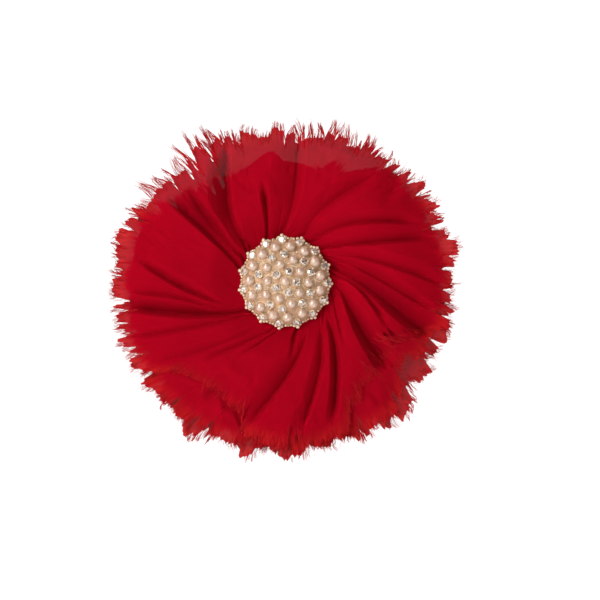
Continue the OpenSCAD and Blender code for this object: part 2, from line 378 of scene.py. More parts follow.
def dress_cad_nodes():
    """Gives the CAD nodes whose shape stays their finished materials."""
    looks = {"button_base": gold_look, "clip_upper_arm": clip_look, "clip_lower_arm": clip_look,
             "hinge_pin": spring_look}
    for name in ("pearl_centre", "pearls_inner", "pearls_second", "pearls_outer"):
        looks[name] = pearl_look
    for name in ("inner", "middle", "outer"):
        looks["claw_settings_" + name] = claw_look
    for node, look in looks.items():
        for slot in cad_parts[node].material_slots:
            slot.material = look


# ---------------------------------------------------------------- chiffon layers

# The pleats are swirled: each runs along a tangent to a small circle round the button's middle.
SWIRL_R = 9.6
# At the top of the flower the pleats are nearly radial, so the circle shrinks there.
STRAIGHT_ANGLE, STRAIGHT_SPAN, STRAIGHT_BY = 95, 75, 5.5
INNER_R = 11.5
# Where each layer is drawn up on its gathering thread, how many pleats that makes, and half their height
GATHER_R, GATHERS, PLEAT = 3.6, 44, 1.0
LAYER_T = 2.4
# No fold is deeper than this
DEEPEST = 9.0
# On the flower's right the cloth curves back this far towards the rim, round this angle
DROOP, DROOP_ANGLE = 5.5, 350
# Distances from the middle between which each part of the cloth's height comes in, or the pleats go out
BULGE_IN, CREST_IN, FOLDS_IN = (12, 23), (14, 38), (14, 28)
RUFFLE_IN, DROOP_IN, PLEATS_OUT = (20, 46), (26, 50), (14, 29)
# Makes every fold this much wider and deeper than the lists say
SPREAD, DEEPEN = 1.35, 1.35
# A layer lies at least NEST_GAP behind the one in front of it, and RIM_STEP behind it at the rim
NEST_GAP, RIM_STEP = 0.5, 0.9
# The frayed rim hangs together in this many tufts, counted round at this radius
TUFTS, TUFT_R = 150, 45
# The share of the tufts that have a torn gap after them, and how far the woven edge is past the cut's list
TORN, EDGE_OUT = 0.36, 1.8
# A thread's points, and the rings of points between a layer's gathering thread and its visible cloth
THREAD_STEPS, INNER_ROWS = 7, 8
# Every layer is gathered from one strip of this length and width, in metres
STRIP = (0.25, 0.034)
# The simulated sag: the trial cloth's columns and rows, its radii, its steps, and the most that it may move
SAG_GRID, SAG_REACH, SAG_STEPS, MOST_SAG = (160, 15), (13, 52), 14, 1.6

# Hand-placed folds of the front layer. Each is three (angle, radius) places from its outer end in,
# The front layer's folds, given one by one. Each is three (angle, radius) places from its outer end in,
# then its depth, and its width towards smaller and towards larger angles.
FRONT_FOLDS = [
    ((0, 44.5), (10, 30), (25, 18), 1.7, 0.9, 3.0),
    ((350, 42), (0, 28.5), (16.5, 19), 1.9, 0.9, 2.2),
    ((338, 47), (356, 24), (14, 15), 6.0, 2.0, 6.4),
    ((337, 31.5), (348, 25), (6, 15), 2.2, 1.0, 2.2),
    ((320, 39), (329, 25), (350, 16.5), 5.6, 1.9, 3.4),
    ((316, 23), (331, 16.5), (346, 13.7), 1.5, 0.8, 1.0),
    ((289, 42), (303, 27), (317, 17), 3.6, 1.6, 1.4),
    ((302, 20), (311, 16.5), (325, 13.5), 1.5, 0.8, 0.8),
    ((276, 43), (288, 30), (306, 17.5), 2.2, 2.6, 0.9),
    ((255, 43), (270, 28), (290, 17), 3.0, 4.6, 1.0),
    ((276, 20.5), (279, 16.5), (287, 13), 4.4, 1.3, 1.1),
    ((225, 31.4), (232, 24), (252, 15), 1.2, 1.6, 0.8),
    ((213, 42), (220, 30), (236, 17), 0.9, 1.8, 0.8),
    ((200, 46), (205, 32), (220, 15), 1.3, 1.8, 0.9),
    ((190, 44), (197, 31), (216, 14.4), 4.6, 2.8, 1.2),
    ((184, 43), (188, 32), (199, 23), 1.6, 1.6, 0.9),
    ((172, 42), (180, 32.5), (196, 20.5), 2.2, 2.2, 0.9),
    ((144.5, 40), (147.5, 26.5), (160, 15), 4.2, 3.4, 1.0),
    ((137, 37), (144, 24), (149, 14.4), 4.4, 2.0, 2.4),
    ((114, 41.5), (122, 32), (134, 15), 5.6, 1.2, 4.6),
    ((103, 28), (105, 21), (112, 14), 3.4, 1.0, 1.0),
    ((128, 23), (134, 18), (142, 13.5), 2.6, 0.9, 1.2),
    ((85, 43), (84, 28), (92, 15), 3.2, 1.9, 5.2),
    ((50, 40), (58, 29), (67, 15), 1.8, 2.6, 3.2),
    ((25, 41), (38, 28), (52, 15.5), 1.8, 0.9, 2.8),
    ((17, 43.7), (26, 25.6), (41, 14.6), 2.2, 0.8, 2.4),
    ((8, 22), (20, 17), (33, 13.5), 0.9, 0.6, 0.9),
    ((240, 24), (248, 19), (262, 14), 1.1, 0.9, 0.6),
    ((206, 21), (218, 17), (232, 13.5), 0.8, 0.8, 0.6),
]

# How far each layer's cloth reaches from the button's middle: (angle, radius)
FRONT_RIM = [
    (0, 47.6), (20, 47.2), (26, 46.8), (33, 46), (41, 47), (48, 45.6), (58, 45.6), (66, 45), (74, 46.6),
    (84, 43.8), (89, 44), (97, 40.8), (104, 42.2), (112, 45), (121, 47.8), (130, 45.6), (137, 45.4),
    (144, 46.6), (151, 45.2), (160, 47.8), (185, 47.8), (200, 48.8), (210, 47.6), (221, 38), (235, 35),
    (248, 38), (256, 44), (275, 46.6), (290, 45.4), (300, 39), (312, 35), (330, 35), (338, 40),
    (345, 46.4),
]
MIDDLE_RIM = [
    (0, 43.5), (45, 43), (54, 36), (65, 31.5), (88, 33), (95, 36), (108, 33), (125, 30), (145, 34),
    (155, 42.5), (180, 43), (205, 44.5), (219, 47.5), (240, 47.5), (265, 47), (290, 46), (300, 47.5),
    (312, 47.5), (320, 43), (326, 39.5), (334, 43), (345, 44.5),
]
BACK_RIM = [
    (0, 44.5), (30, 43), (48, 43), (58, 35), (85, 30), (100, 31), (120, 33), (140, 37), (155, 43),
    (200, 44.4), (220, 47.6), (232, 47.8), (241, 51.2), (249, 44.8), (257, 48.6), (264, 46.8),
    (273, 48.4), (284, 46.4), (291, 46), (298, 49.4), (304, 48.8), (312, 51.4), (320, 47.6), (334, 47.4),
    (345, 47),
]
# How far the front layer's outermost threads are loose, with no cloth between them: (angle, length)
LOOSE = [
    (0, 0), (44, 0), (54, 1), (66, 2.6), (78, 4), (89, 3), (95, 0), (110, 0.6), (118, 3.6), (130, 3.6),
    (137, 1.6), (144, 4), (154, 0.4), (165, 0), (180, 0),
]


def along_list(places, angle):
    """The value at an angle, going smoothly from one (angle, value) place to the next, right round."""
    first, last = places[0], places[-1]
    keys, values = np.array([(last[0] - 360, last[1]), *places, (first[0] + 360, first[1])], float).T
    angle = np.asarray(angle, float) % 360
    i = np.clip(np.searchsorted(keys, angle, side="right") - 1, 0, len(keys) - 2)
    share = smooth((angle - keys[i]) / (keys[i + 1] - keys[i]))
    return values[i] + share * (values[i + 1] - values[i])


def swirl(angle, radius):
    """How far, in degrees, a pleat that points to this angle has turned at a radius."""
    straight = STRAIGHT_BY * (1 - smooth(np.abs(wrap(angle - STRAIGHT_ANGLE)) / STRAIGHT_SPAN))
    return np.degrees(np.arcsin((SWIRL_R - straight) / radius))


def fold_line(places, radius):
    """The angle of a fold's valley at a radius: through its three places, swirling on past its ends."""
    bearings = [places[0][0]]
    for bearing, _ in places[1:]:
        bearings.append(bearings[-1] + float(wrap(bearing - bearings[-1])))
    nearness = [1 / r for _, r in places]
    held = np.clip(radius, places[2][1], places[0][1])
    near = 1 / held
    line = np.zeros_like(radius)
    for i in range(3):
        term = np.full_like(radius, bearings[i])
        for j in range(3):
            if j != i:
                term = term * (near - nearness[j]) / (nearness[i] - nearness[j])
        line = line + term
    return line + swirl(bearings[1], radius) - swirl(bearings[1], held)


def fold_drop(fold, angle, radius):
    """How far one fold lowers the cloth: a rounded slope down to a sharp valley, on both its sides."""
    *places, depth, side_low, side_high = fold
    outer, inner = places[0][1], places[2][1]
    # The cloth is crossed at a slant, as a fold runs along the swirl and not straight out
    lean = math.cos(math.asin(min(0.8, 9 / places[1][1])))
    across = np.radians(wrap(angle - fold_line(places, radius))) * radius * lean
    narrow = 0.4 + 0.6 * rise(radius, 12, 28)
    width = np.where(across < 0, side_low, side_high) * narrow * SPREAD
    inside = 1 - np.clip(np.abs(across) / width, 0, 1)
    profile = 0.35 * inside + 0.35 * inside ** 2 + 0.3 * (1 - np.sqrt(1 - inside ** 2))
    ends = smooth((outer + 2.5 - radius) / 8)
    # A fold that doesn't come from under the button fades at its inner end too
    if inner > 16:
        ends = ends * smooth((radius - inner + 3) / 6)
    return DEEPEN * depth * ends * profile


def random_folds(rng, count, inner, outer, depth, width):
    """Small folds that follow the swirl, spread unevenly round the flower."""
    folds = []
    for i in range(count):
        aim = (i + rng.uniform(-0.35, 0.35)) * 360 / count
        start = rng.uniform(*outer)
        end = rng.uniform(*inner)
        places = [(aim + float(swirl(aim, r)), r) for r in (start, (start + end) / 2, end)]
        side = rng.uniform(*width)
        folds.append((*places, rng.uniform(*depth), side, side * rng.uniform(0.6, 1.6)))
    return folds


class Layer:
    """One gathered layer of chiffon: its cut, its folds and the tufts along its frayed rim."""

    def __init__(self, name, rim, folds, level, bulge, seed, cover):
        self.name, self.rim, self.bulge, self.cover = name, rim, bulge, cover
        self.node = "petal_layer_" + name
        self.rng = rng = np.random.default_rng(seed)
        self.rim_out = node_box("petal_layer_front")[1][2] - RIM_STEP * (2 - level)
        # Under the button the front layer's folds lie on top, and the others' pleats fill their thickness
        self.pleat = PLEAT if cover else 0.0
        self.flat_out = node_box("petal_layer_back")[1][2] + LAYER_T * (level - 0.5 if cover else level)
        self.waves = [(k, rng.uniform(0.4, 1.0), rng.uniform(0, 360)) for k in (3, 5, 7, 8, 11, 13)]
        self.folds = folds + random_folds(rng, 24, (12, 13.5), (17, 27), (0.15, 0.5), (0.8, 1.8))
        self.make_tufts()

    def make_tufts(self):
        """Settles each tuft of the frayed edge: its place, blunt end and threads, and the gap after it."""
        rng = self.rng

        def between(low, high):
            return rng.uniform(low, high, TUFTS)

        def waves(*counts):
            return sum(np.cos(np.radians(k * self.tuft_angle + rng.uniform(0, 360))) for k in counts)

        shares = between(0.25, 1.3) ** 1.8
        self.tuft_end = np.cumsum(shares) * 360 / shares.sum()
        self.tuft_span = shares * 180 / shares.sum()
        self.tuft_angle = self.tuft_end - self.tuft_span
        self.tuft_half = np.radians(self.tuft_span) * TUFT_R
        self.tuft_loose = np.zeros(TUFTS) if self.cover else along_list(LOOSE, self.tuft_angle)
        self.tuft_reach = 1.1 * (waves(13, 19, 31) / 3) + between(-1.0, 1.2)
        self.tuft_tilt = rng.normal(0, 0.5, TUFTS)
        self.tuft_length = between(0.6, 1.7) + self.tuft_loose * between(0.6, 1.7)
        self.tuft_lean = 8 * waves(4, 9, 15) + rng.normal(0, 9, TUFTS)
        self.tuft_tip = between(0.8, 1.35) / (1 + 0.35 * self.tuft_loose)
        torn = rng.random(TUFTS) < TORN
        self.gap_depth = np.where(torn, between(1.8, 4.8), between(0.1, 0.9))
        self.gap_half = np.where(torn, between(0.25, 0.8), between(0.15, 0.3))

    def ragged(self, angle):
        """1 where the edge shows, down to 0 where it lies well under the layer in front."""
        if not self.cover:
            return np.ones_like(angle)
        return smooth((along_list(self.rim, angle) - along_list(self.cover.rim, angle) + 6) / 4)

    def edge(self, angle):
        """Radius of the woven edge: blunt tufts of cloth, some with a gap torn between them."""
        angle = np.asarray(angle, float) % 360
        tuft = np.searchsorted(self.tuft_end, angle) % TUFTS
        across = wrap(angle - self.tuft_angle[tuft]) / self.tuft_span[tuft]
        uneven = self.tuft_reach[tuft] + self.tuft_tilt[tuft] * across
        for nibbles in (211, 337):
            uneven = uneven + 0.25 * np.cos(np.radians(nibbles * angle))
        apart = np.radians(np.abs(wrap(angle[..., None] - self.tuft_end))) * TUFT_R
        # A gap is fully open at its middle, and closes just past its half width
        gaps = self.gap_depth * np.clip(2.8 - 2.2 * apart / self.gap_half, 0, 1)
        uneven = uneven - np.max(gaps, axis=-1)
        loose = 0 if self.cover else along_list(LOOSE, angle)
        return along_list(self.rim, angle) + EDGE_OUT - loose + self.ragged(angle) * uneven

    def height(self, angle, radius):
        """How far out the cloth stands, and how deep in a fold it is, at an angle and radius."""
        crest = self.flat_out + self.bulge * rise(radius, *BULGE_IN)
        crest = crest + (self.rim_out - self.flat_out - self.bulge) * rise(radius, *CREST_IN)
        pleats = np.cos(np.radians(GATHERS * (angle - swirl(angle, radius))))
        crest = crest + self.pleat * (1 - rise(radius, *PLEATS_OUT)) * pleats
        drop = np.zeros_like(radius)
        for fold in self.folds:
            drop = drop + fold_drop(fold, angle, radius)
        drop = (0.4 + 0.6 * rise(radius, *FOLDS_IN)) * DEEPEST * (1 - np.exp(-drop / DEEPEST))
        ruffle = np.zeros_like(radius)
        for k, size, phase in self.waves:
            ruffle = ruffle + size * np.cos(np.radians(k * angle + phase))
        ruffle = 0.55 * ruffle * rise(radius, *RUFFLE_IN)
        droop = 1 - rise(np.abs(wrap(angle - DROOP_ANGLE)), 35, 80)
        reach = along_list(self.rim, angle)
        curl = -0.5 * smooth((radius - reach + 7) / 9) - DROOP * droop * rise(radius, *DROOP_IN)
        out = crest - drop + ruffle + curl
        if self.cover:
            # It nests into the back of the folds of the layer in front, and past that one's edge it is free
            front, _ = self.cover.height(angle, radius)
            past = smooth((radius - along_list(self.cover.rim, angle) - 0.5) / 5)
            out = np.minimum(out, front - NEST_GAP + 3 * past)
        return out, np.clip(drop / 6, 0, 1)

    def build(self, columns, rows, sag):
        aim = np.arange(columns) * 360 / columns
        edge = self.edge(aim + swirl(aim, TUFT_R))
        share = np.linspace(0, 1, rows)[:, None]
        radius = INNER_R + share * (edge[None, :] - INNER_R)
        angle = aim[None, :] + swirl(aim[None, :], radius)
        out, depth = self.height(angle, radius)

        # Under the button the cloth runs straight in to the gathering thread, in fine even gathers
        reach = np.linspace(GATHER_R, INNER_R, INNER_ROWS)[:-1, None]
        share = (reach - GATHER_R) / (INNER_R - GATHER_R)
        gathers = (1 - share) * PLEAT * np.cos(np.radians(GATHERS * aim))[None, :]
        inner_out = share * out[0] + (1 - share) * (node_box(self.node)[0][2] + LAYER_T / 2) + gathers
        inner = np.broadcast_arrays(reach, angle[0], inner_out, depth[0])
        whole = [np.concatenate(parts) for parts in zip(inner, (radius, angle, out, depth))]
        radius, angle, out, depth = whole
        rows = len(radius)

        points = sink(sag, on_face(angle, radius, out), angle, radius)
        faces = grid_faces(rows, columns, closed=True)
        piece = make_mesh("chiffon_" + self.name, points, faces, chiffon_look)
        # How deep in a fold each point lies, which the chiffon material paints as shade
        add_attribute(piece, "fold", depth)
        # Towards the flower's outer rim the threads are painted lighter and oranger, a painted glow of the
        # light that comes through them
        fray_and_glow = smooth((radius - along_list(self.rim, angle) + 3.5) / 6) * rise(radius, 33, 47)
        add_attribute(piece, "fray_and_glow", fray_and_glow)
        strip_uv(piece, rows, columns)
        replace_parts(piece, self.node)
        return piece

    def draw_threads(self, per_tuft, per_gap, loose):
        """Settles the frayed threads: some cling past a tuft's end, some bridge a torn gap, some are loose.

        Gives eight rows, with a column to each thread: its angle, its offset from there, its length, its
        lean, how far apart the tips stay, its hook, how far in its root is, and its thickness.
        """
        rng = self.rng
        tuft = np.repeat(np.arange(TUFTS), per_tuft)
        count = len(tuft)
        hook = rng.normal(0, 8, TUFTS)[tuft]
        clinging = (self.tuft_angle[tuft], rng.uniform(-0.96, 0.96, count) * self.tuft_half[tuft],
                    self.tuft_length[tuft] * rng.uniform(0.6, 1, count),
                    self.tuft_lean[tuft] + rng.normal(0, 3, count), self.tuft_tip[tuft], hook,
                    rng.uniform(0.3, 2.6, count),
                    rng.uniform(0.03, 0.06, count) * (1 + 0.2 * self.tuft_loose[tuft]))

        gap = np.repeat(np.flatnonzero(self.gap_depth > 1.5), per_gap)
        count = len(gap)
        bridging = (self.tuft_end[gap], rng.uniform(-1.4, 1.4, count) * self.gap_half[gap],
                    self.gap_depth[gap] * rng.uniform(0.5, 1.3, count),
                    self.tuft_lean[gap] + rng.normal(0, 7, count), rng.uniform(0.5, 1.2, count),
                    rng.normal(0, 10, count), np.full(count, 0.5), rng.uniform(0.014, 0.026, count))

        count = TUFTS * loose
        stray = (rng.uniform(0, 360, count), np.zeros(count), rng.uniform(1, 3.2, count),
                 rng.normal(0, 18, count), np.ones(count), rng.normal(0, 20, count),
                 rng.uniform(0.3, 1.5, count), rng.uniform(0.012, 0.022, count))
        threads = np.concatenate([np.array(kind) for kind in (clinging, bridging, stray)], axis=1)
        return threads[:, self.ragged(threads[0]) > 0.4]

    def build_fringe(self, per_tuft, per_gap, loose, sag):
        """The frayed threads, each from its root in the cloth out to its free end."""
        threads = self.draw_threads(per_tuft, per_gap, loose)
        angle, offset, length, lean, tip, hook, inset, thick = threads[..., None]
        root_angle = angle + np.degrees(offset / along_list(self.rim, angle))
        woven = self.edge(root_angle)
        root_r = woven - inset
        turn = np.radians(angle)
        ahead = np.stack([np.cos(turn), np.sin(turn)], axis=-1)
        aside = np.stack([-np.sin(turn), np.cos(turn)], axis=-1)
        forward = np.linspace(0, 1, THREAD_STEPS) * (length + inset)
        free = np.clip((forward - inset) / length, 0, 1)
        sideways = offset * (1 - (1 - tip) * smooth(free * 1.15))
        bearing = lean + hook * free
        sideways = sideways + np.tan(np.radians(np.clip(bearing, -55, 55))) * length * free
        sideways = sideways + 0.07 * np.sin(7 * free + 9 * offset + 20 * tip)
        base_r = root_r * np.cos(np.radians(root_angle - angle))
        flat = (base_r + forward)[..., None] * ahead + sideways[..., None] * aside
        reach = np.hypot(flat[..., 0], flat[..., 1])
        bearing = np.degrees(np.arctan2(flat[..., 1], flat[..., 0]))
        out, _ = self.height(bearing, np.minimum(reach, woven))
        near, _ = self.height(root_angle, root_r)
        at_edge, _ = self.height(root_angle, woven)
        slope = np.clip((at_edge - near) / inset, -0.4, 0.4)
        lift = self.rng.normal(0.03, 0.22, angle.shape) * free ** 1.4 + 0.05
        out = out + lift + slope * length * free * (1 - 0.4 * free)
        points = triples(BUTTON_X + flat[..., 0], BUTTON_Y + flat[..., 1], out)
        points = sink(sag, points, bearing, reach)
        width = thick * (1 - 0.5 * free ** 2)
        # Each thread's colour runs to a painted glow, lighter and oranger, towards its free end
        return thread_mesh("fringe_" + self.name, points, width, fringe_look, shade=free)


def simulate_sag(layer):
    """Hangs the front layer from its gathers and says how far each place on it sinks, in millimetres."""
    columns, rows = SAG_GRID
    angle = np.broadcast_to(np.arange(columns) * 360 / columns, (rows, columns))
    radius = np.broadcast_to(np.linspace(*SAG_REACH, rows)[:, None], (rows, columns))
    out, _ = layer.height(angle, radius)
    before = stand_up(on_face(angle, radius, out)).reshape(-1, 3)
    mesh = bpy.data.meshes.new("sag_trial")
    mesh.from_pydata(before.tolist(), [], grid_faces(rows, columns, closed=True))
    trial = link("sag_trial", mesh)
    held = trial.vertex_groups.new(name="held")
    for row in range(rows):
        grip = float(1 - smooth(row / rows / 0.6)) ** 2
        held.add(list(range(row * columns, (row + 1) * columns)), grip, "REPLACE")
    cloth = trial.modifiers.new("cloth", "CLOTH")
    cloth.settings.quality = 8
    cloth.settings.mass = 0.0006
    cloth.settings.tension_stiffness = cloth.settings.compression_stiffness = 6
    cloth.settings.shear_stiffness = 3
    cloth.settings.bending_stiffness = 0.002
    cloth.settings.air_damping = 2
    cloth.settings.vertex_group_mass = "held"
    cloth.collision_settings.use_collision = False
    cloth.collision_settings.use_self_collision = False
    for step in range(1, SAG_STEPS + 1):
        bpy.context.scene.frame_set(step)
    settled = trial.evaluated_get(bpy.context.evaluated_depsgraph_get()).to_mesh()
    after = np.empty(len(before) * 3, np.float32)
    settled.vertices.foreach_get("co", after)
    moved = (after.reshape(-1, 3) - before) / MM
    bpy.data.objects.remove(trial)
    bpy.data.meshes.remove(mesh)
    bpy.context.scene.frame_set(1)
    moved = triples(moved[:, 0], moved[:, 2], -moved[:, 1])
    size = np.linalg.norm(moved, axis=1, keepdims=True)
    moved = moved * np.minimum(1, MOST_SAG / np.maximum(size, 1e-9))
    return moved.reshape(rows, columns, 3)


def sink(sag, points, angle, radius):
    """Moves points on the layers by the simulated sag at their angles and radii."""
    if sag is None:
        return points
    rows, columns, _ = sag.shape
    place = np.clip((radius - SAG_REACH[0]) / (SAG_REACH[1] - SAG_REACH[0]), 0, 1) * (rows - 1)
    row = np.minimum(place.astype(int), rows - 2)
    turn = (np.asarray(angle) % 360) * columns / 360
    column = turn.astype(int) % columns
    following = (column + 1) % columns
    up, over = (place - row)[..., None], (turn - turn.astype(int))[..., None]
    lower = sag[row, column] * (1 - over) + sag[row, following] * over
    upper = sag[row + 1, column] * (1 - over) + sag[row + 1, following] * over
    return points + lower * (1 - up) + upper * up


def grid_faces(rows, columns, closed):
    """Quads between the points of a grid whose columns may run right round."""
    across = columns if closed else columns - 1
    row, column = np.meshgrid(np.arange(rows - 1), np.arange(across), indexing="ij")
    following = (column + 1) % columns
    quads = np.stack([row * columns + column, row * columns + following,
                      (row + 1) * columns + following, (row + 1) * columns + column], axis=-1)
    return quads.reshape(-1, 4).tolist()


def strip_uv(piece, rows, columns):
    """Lays the weave along the strip that the layer was gathered from, at its real length and width."""
    length, width = STRIP
    uv = piece.data.uv_layers.new(name="strip")
    corners = np.empty(len(piece.data.loops), np.int64)
    piece.data.loops.foreach_get("vertex_index", corners)
    column = (corners % columns).astype(float).reshape(-1, 4)
    row = (corners // columns).astype(float).reshape(-1, 4)
    seam = (column.max(axis=1) - column.min(axis=1)) > columns / 2
    column[seam] = np.where(column[seam] < columns / 2, column[seam] + columns, column[seam])
    values = np.stack([column * length / columns, row * width / rows], axis=-1)
    uv.data.foreach_set("uv", values.ravel())


def thread_mesh(name, paths, widths, material, sides=3, body="flower", shade=None):
    """Many thin threads as one piece: paths is (thread, step, 3), and widths and shade are (thread, step); by
    shade the material paints the fringe lighter, as painted light.
    """
    count, steps, _ = paths.shape
    along = unit(np.gradient(paths, axis=1))
    side = unit(np.cross(along, np.array([0.3, 0.2, 1.0])))
    other = np.cross(along, side)
    turns = np.arange(sides) * 2 * math.pi / sides
    ring = (np.cos(turns)[:, None] * side[:, :, None, :] + np.sin(turns)[:, None] * other[:, :, None, :])
    points = paths[:, :, None, :] + widths[:, :, None, None] * ring
    thread, step, k = np.meshgrid(np.arange(count), np.arange(steps - 1), np.arange(sides), indexing="ij")
    start = (thread * steps + step) * sides
    following = (k + 1) % sides
    quads = np.stack([start + k, start + following, start + sides + following, start + sides + k], axis=-1)
    piece = make_mesh(name, points, quads.reshape(-1, 4).tolist(), material, body)
    if shade is not None:
        add_attribute(piece, "fray_and_glow", np.repeat(shade, sides, axis=1))
    return piece


def build_flower():
    rng = np.random.default_rng(SEED)
    middle_folds = random_folds(rng, 26, (13, 20), (30, 44), (0.8, 2.4), (1.0, 3.2))
    back_folds = random_folds(rng, 24, (13, 20), (30, 45), (0.8, 2.4), (1.0, 3.2))
    front = Layer("front", FRONT_RIM, FRONT_FOLDS, 2, 3.8, SEED + 1, None)
    middle = Layer("middle", MIDDLE_RIM, middle_folds, 1, 3.4, SEED + 2, front)
    back = Layer("back", BACK_RIM, back_folds, 0, 2.4, SEED + 3, middle)
    sizes = {"front": (1000, 90), "middle": (760, 74), "back": (760, 74)}
    # The layers are sewn together at their gathers and hang as one, so one run settles all three
    sag = simulate_sag(front)
    for layer in (front, middle, back):
        sheet = layer.build(*sizes[layer.name], sag)
        fringe = layer.build_fringe(24, 12, 2, sag)


build_flower()


# ---------------------------------------------------------------- button

# Rings on the dome, as the CAD has them: distance from the middle, how many, and the first one's angle
PEARL_RINGS = {
    "pearl_centre": (0, 1, 0),
    "pearls_inner": (5, 5, 34),
    "pearls_second": (6.45, 5, -2),
    "pearls_outer": (9.9, 15, 10),
}
CRYSTAL_RINGS = {
    "inner": [(3.1, 5, -2)],
    "middle": [(7.6, 5, 20.4), (7.6, 5, 47.6)],
    "outer": [(11.7, 15, -2)],
}
PEARL_R = {"pearl_centre": 1.35, "pearls_inner": 1.35, "pearls_second": 1.35, "pearls_outer": 1.55}
CRYSTAL_R = 1.0
CUP_R = 1.15
# The outer stones beside this angle sit crooked: their tilt, for each stone that they are away from it
CROOKED_ANGLE, CROOKED = 118, 0.24
# The stones' girdles lap over their cups
STONE_SPREAD = (1.1, 1.1, 1.0)

# The height of the base's straight edge, and the dome's radius at its rim, as the CAD has them
EDGE_H, DOME_RIM_R = 0.9, 12.4
dome_top = button_high[2]
dome_h = dome_top - button_low[2] - EDGE_H
DOME_R = (DOME_RIM_R ** 2 + dome_h ** 2) / (2 * dome_h)
# How deep a gold bead sits in the dome, as a share of its radius
BEAD_SINK = 0.35
# The beads round each rim stone's outer side: (turn from the stone, distance from the middle, radius)
STAR_BEADS = ((0, 13.45, 0.56), (-4.2, 12.9, 0.46), (4.2, 12.9, 0.46), (-8.2, 12.6, 0.4), (8.2, 12.6, 0.4))
# The stars slope down by this share of the way to this distance from the middle
STAR_SLOPE, STAR_TIP_R = 0.4, 13.9
# How many wandering lines of beads there are, the steps of each, a step's length, and the loose grains
LINES, LINE_STEPS, LINE_STEP, GRAINS = 46, 16, 0.27, 110
# The degrees from bead to bead of a pearl's collar
COLLAR_STEP = 9.5


def on_dome(ring_r, angle, lift=0.0):
    """A place on the dome and three directions there: down the slope, round the ring and straight out."""
    turn, slope = math.radians(angle), math.asin(ring_r / DOME_R)
    down = np.array([math.cos(slope) * math.cos(turn), math.cos(slope) * math.sin(turn), -math.sin(slope)])
    around = np.array([-math.sin(turn), math.cos(turn), 0])
    outward = np.array([math.sin(slope) * math.cos(turn), math.sin(slope) * math.sin(turn), math.cos(slope)])
    centre = np.array([BUTTON_X, BUTTON_Y, dome_top - DOME_R])
    return centre + (DOME_R + lift) * outward, np.array([down, around, outward])


def ring_places(ring):
    ring_r, count, first = ring
    return [(ring_r, first + i * 360 / count) for i in range(count)]


class Batch:
    """Many small solids gathered into one mesh piece."""

    def __init__(self):
        self.points, self.faces, self.values, self.count = [], [], [], 0

    def add(self, points, faces, values=None):
        self.points.append(np.asarray(points, float))
        self.faces.extend([[v + self.count for v in face] for face in faces])
        self.values.extend(values if values is not None else [0.0] * len(faces))
        self.count += len(points)

    def make(self, name, material, slot, smooth_faces=True):
        points = np.concatenate(self.points)
        piece = make_mesh(name, points, self.faces, material, smooth_faces=smooth_faces)
        attribute = piece.data.attributes.new("facet", "FLOAT", "FACE")
        attribute.data.foreach_set("value", np.asarray(self.values, np.float32))
        return piece


def ball(divisions):
    """Points and faces of a round bead of radius 1."""
    mesh = bmesh.new()
    bmesh.ops.create_icosphere(mesh, subdivisions=divisions, radius=1)
    points = np.array([v.co for v in mesh.verts])
    faces = [[v.index for v in face.verts] for face in mesh.faces]
    mesh.free()
    return points, faces


def brilliant(rng):
    """A round brilliant on its girdle: points, faces and a random value for each facet, which paints it
    bright or dark as a painted reflection over its foil.
    """
    table_r, table_z, break_r, break_z = 0.58, 1.25, 0.81, 1.12
    girdle_top, girdle_low, culet = 0.9, 0.78, 0.2

    def ring(count, radius, height, first=0.0):
        return around((0, 0), radius, np.radians(first + np.arange(count) * 360 / count), height)

    points = np.concatenate([
        [[0, 0, table_z], [0, 0, culet]],
        ring(8, table_r, table_z),
        ring(8, break_r, break_z, 22.5),
        ring(16, CRYSTAL_R, girdle_top),
        ring(16, CRYSTAL_R, girdle_low),
    ])
    table, star, girdle, lower = 2, 10, 18, 34
    faces = []
    for k in range(8):
        following = (k + 1) % 8
        left, right = girdle + (2 * k + 1) % 16, girdle + (2 * k + 2) % 16
        faces.append([0, table + k, table + following])
        faces.append([table + following, table + k, star + k])
        faces.append([table + k, star + (k - 1) % 8, girdle + 2 * k, star + k])
        faces.append([star + k, girdle + 2 * k, left])
        faces.append([star + k, left, right])
    for k in range(16):
        following = (k + 1) % 16
        faces.append([girdle + k, lower + k, lower + following, girdle + following])
        faces.append([lower + following, lower + k, 1])
    return points, faces, rng.random(len(faces))


def build_crystals():
    rng = np.random.default_rng(SEED + 30)
    for name, rings in CRYSTAL_RINGS.items():
        stones = Batch()
        for ring in rings:
            for place in ring_places(ring):
                origin, axes = on_dome(*place)
                spin, tip_a, tip_b = rng.uniform(0, math.pi), *rng.normal(0, 0.05, 2)
                aside = float(wrap(CROOKED_ANGLE - place[1])) * ring[1] / 360
                crooked = name == "outer" and abs(aside) < 1.25
                if crooked:
                    tip_a, tip_b = -0.1, CROOKED * aside
                up = unit(axes[2] + tip_a * axes[0] + tip_b * axes[1])
                across = unit(np.cross(math.cos(spin) * axes[0] + math.sin(spin) * axes[1], up))
                turned = np.array([across, np.cross(up, across), up])
                points, faces, values = brilliant(rng)
                # The crooked stones have all their facets painted bright: a painted reflection of the light
                # all over
                values = np.maximum(values, 0.9 * crooked)
                stones.add(origin + (STONE_SPREAD * points) @ turned, faces, values)
        piece = stones.make("crystals_" + name + "_cut", crystal_look, "crystal", smooth_faces=False)
        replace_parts(piece, "crystals_" + name)


